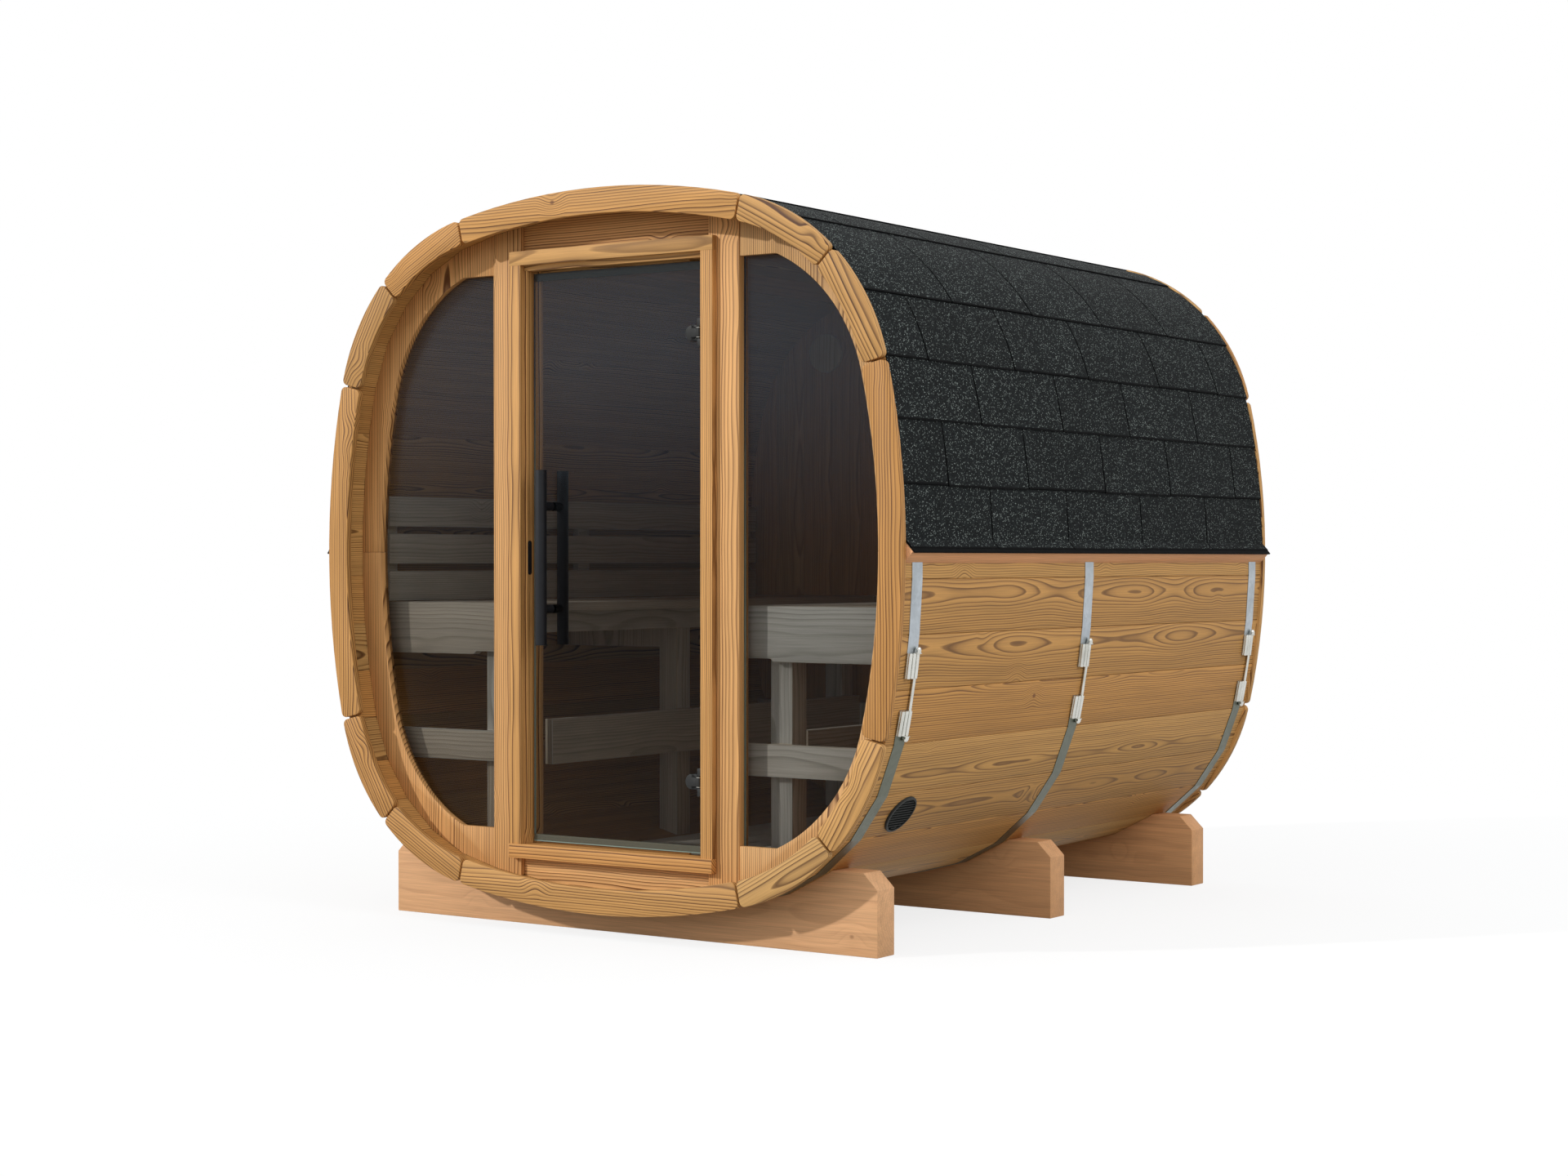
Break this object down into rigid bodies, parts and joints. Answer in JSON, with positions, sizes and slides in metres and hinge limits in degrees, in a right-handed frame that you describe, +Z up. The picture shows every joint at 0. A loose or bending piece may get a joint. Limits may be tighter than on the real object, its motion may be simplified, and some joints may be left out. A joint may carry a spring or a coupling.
{
  "type": "barrel sauna",
  "caption": "Outdoor sauna cabin of flat staves on a soft-square section, bound by steel hoops on cradles, with shingled roof, glazed front, swinging glass door and side benches.",
  "frame": {"origin": "on the ground, under the middle of the barrel's bounding box", "axes": "+Z up, the glazed front faces -Y, +X to the right seen from the front"},
  "size_m": [2.0522, 2.214, 2.0648],
  "materials": {
    "stave_wood": "planed honey-brown softwood staves",
    "trim_wood": "planed honey-brown trim boards",
    "wall_wood": "planed honey-brown boards",
    "frame_wood": "planed honey-brown frame",
    "cradle_wood": "pinkish sawn softwood",
    "pale_wood": "pale planed hardwood",
    "shingle": "bitumen shingle with dark mineral granules",
    "galvanised": "galvanised steel strip",
    "zinc": "bright zinc plated steel",
    "tinted_glass": "grey tinted safety glass",
    "black_metal": "black powder coat",
    "steel_fittings": "satin steel",
    "black_plastic": "black moulded plastic"
  },
  "bodies": {
    "cabin": {"air_vent": "black_plastic", "back_trim_ring": "trim_wood", "back_vent": "pale_wood", "back_wall": "wall_wood", "backrest_left": "pale_wood", "bench_frame_left": "pale_wood", "bench_frame_right": "pale_wood", "bench_slats_left": "pale_wood", "bench_slats_right": "pale_wood", "cradle_back": "cradle_wood", "cradle_front": "cradle_wood", "cradle_middle": "cradle_wood", "door_frame_head": "frame_wood", "door_frame_sill": "frame_wood", "door_jamb_left": "frame_wood", "door_jamb_right": "frame_wood", "eave_battens": "trim_wood", "floor_grating": "pale_wood", "front_apron": "wall_wood", "front_glass_left": "tinted_glass", "front_glass_right": "tinted_glass", "front_header": "wall_wood", "front_panel_left": "wall_wood", "front_panel_right": "wall_wood", "front_post_left": "wall_wood", "front_post_right": "wall_wood", "front_trim_ring": "trim_wood", "hinge_pins": "steel_fittings", "shingle_ridge": "shingle", "shingles_left": "shingle", "shingles_right": "shingle", "staves_floor": "stave_wood", "staves_left": "stave_wood", "staves_lower_left": "stave_wood", "staves_lower_right": "stave_wood", "staves_right": "stave_wood", "staves_top": "stave_wood", "staves_upper_left": "stave_wood", "staves_upper_right": "stave_wood", "steel_bands": "galvanised", "strike_plate": "black_metal", "tensioners": "zinc"},
    "door": {"door_glass": "tinted_glass", "door_handle": "black_metal", "door_hinge_leaves": "steel_fittings"}
  },
  "joints": [
    {"name": "door_swing", "type": "hinge", "parent": "cabin", "child": "door", "pos_m": [0.292, -1.012, 1.0485], "axis": [0, 0, 1], "range_deg": [0, 90]}
  ]
}
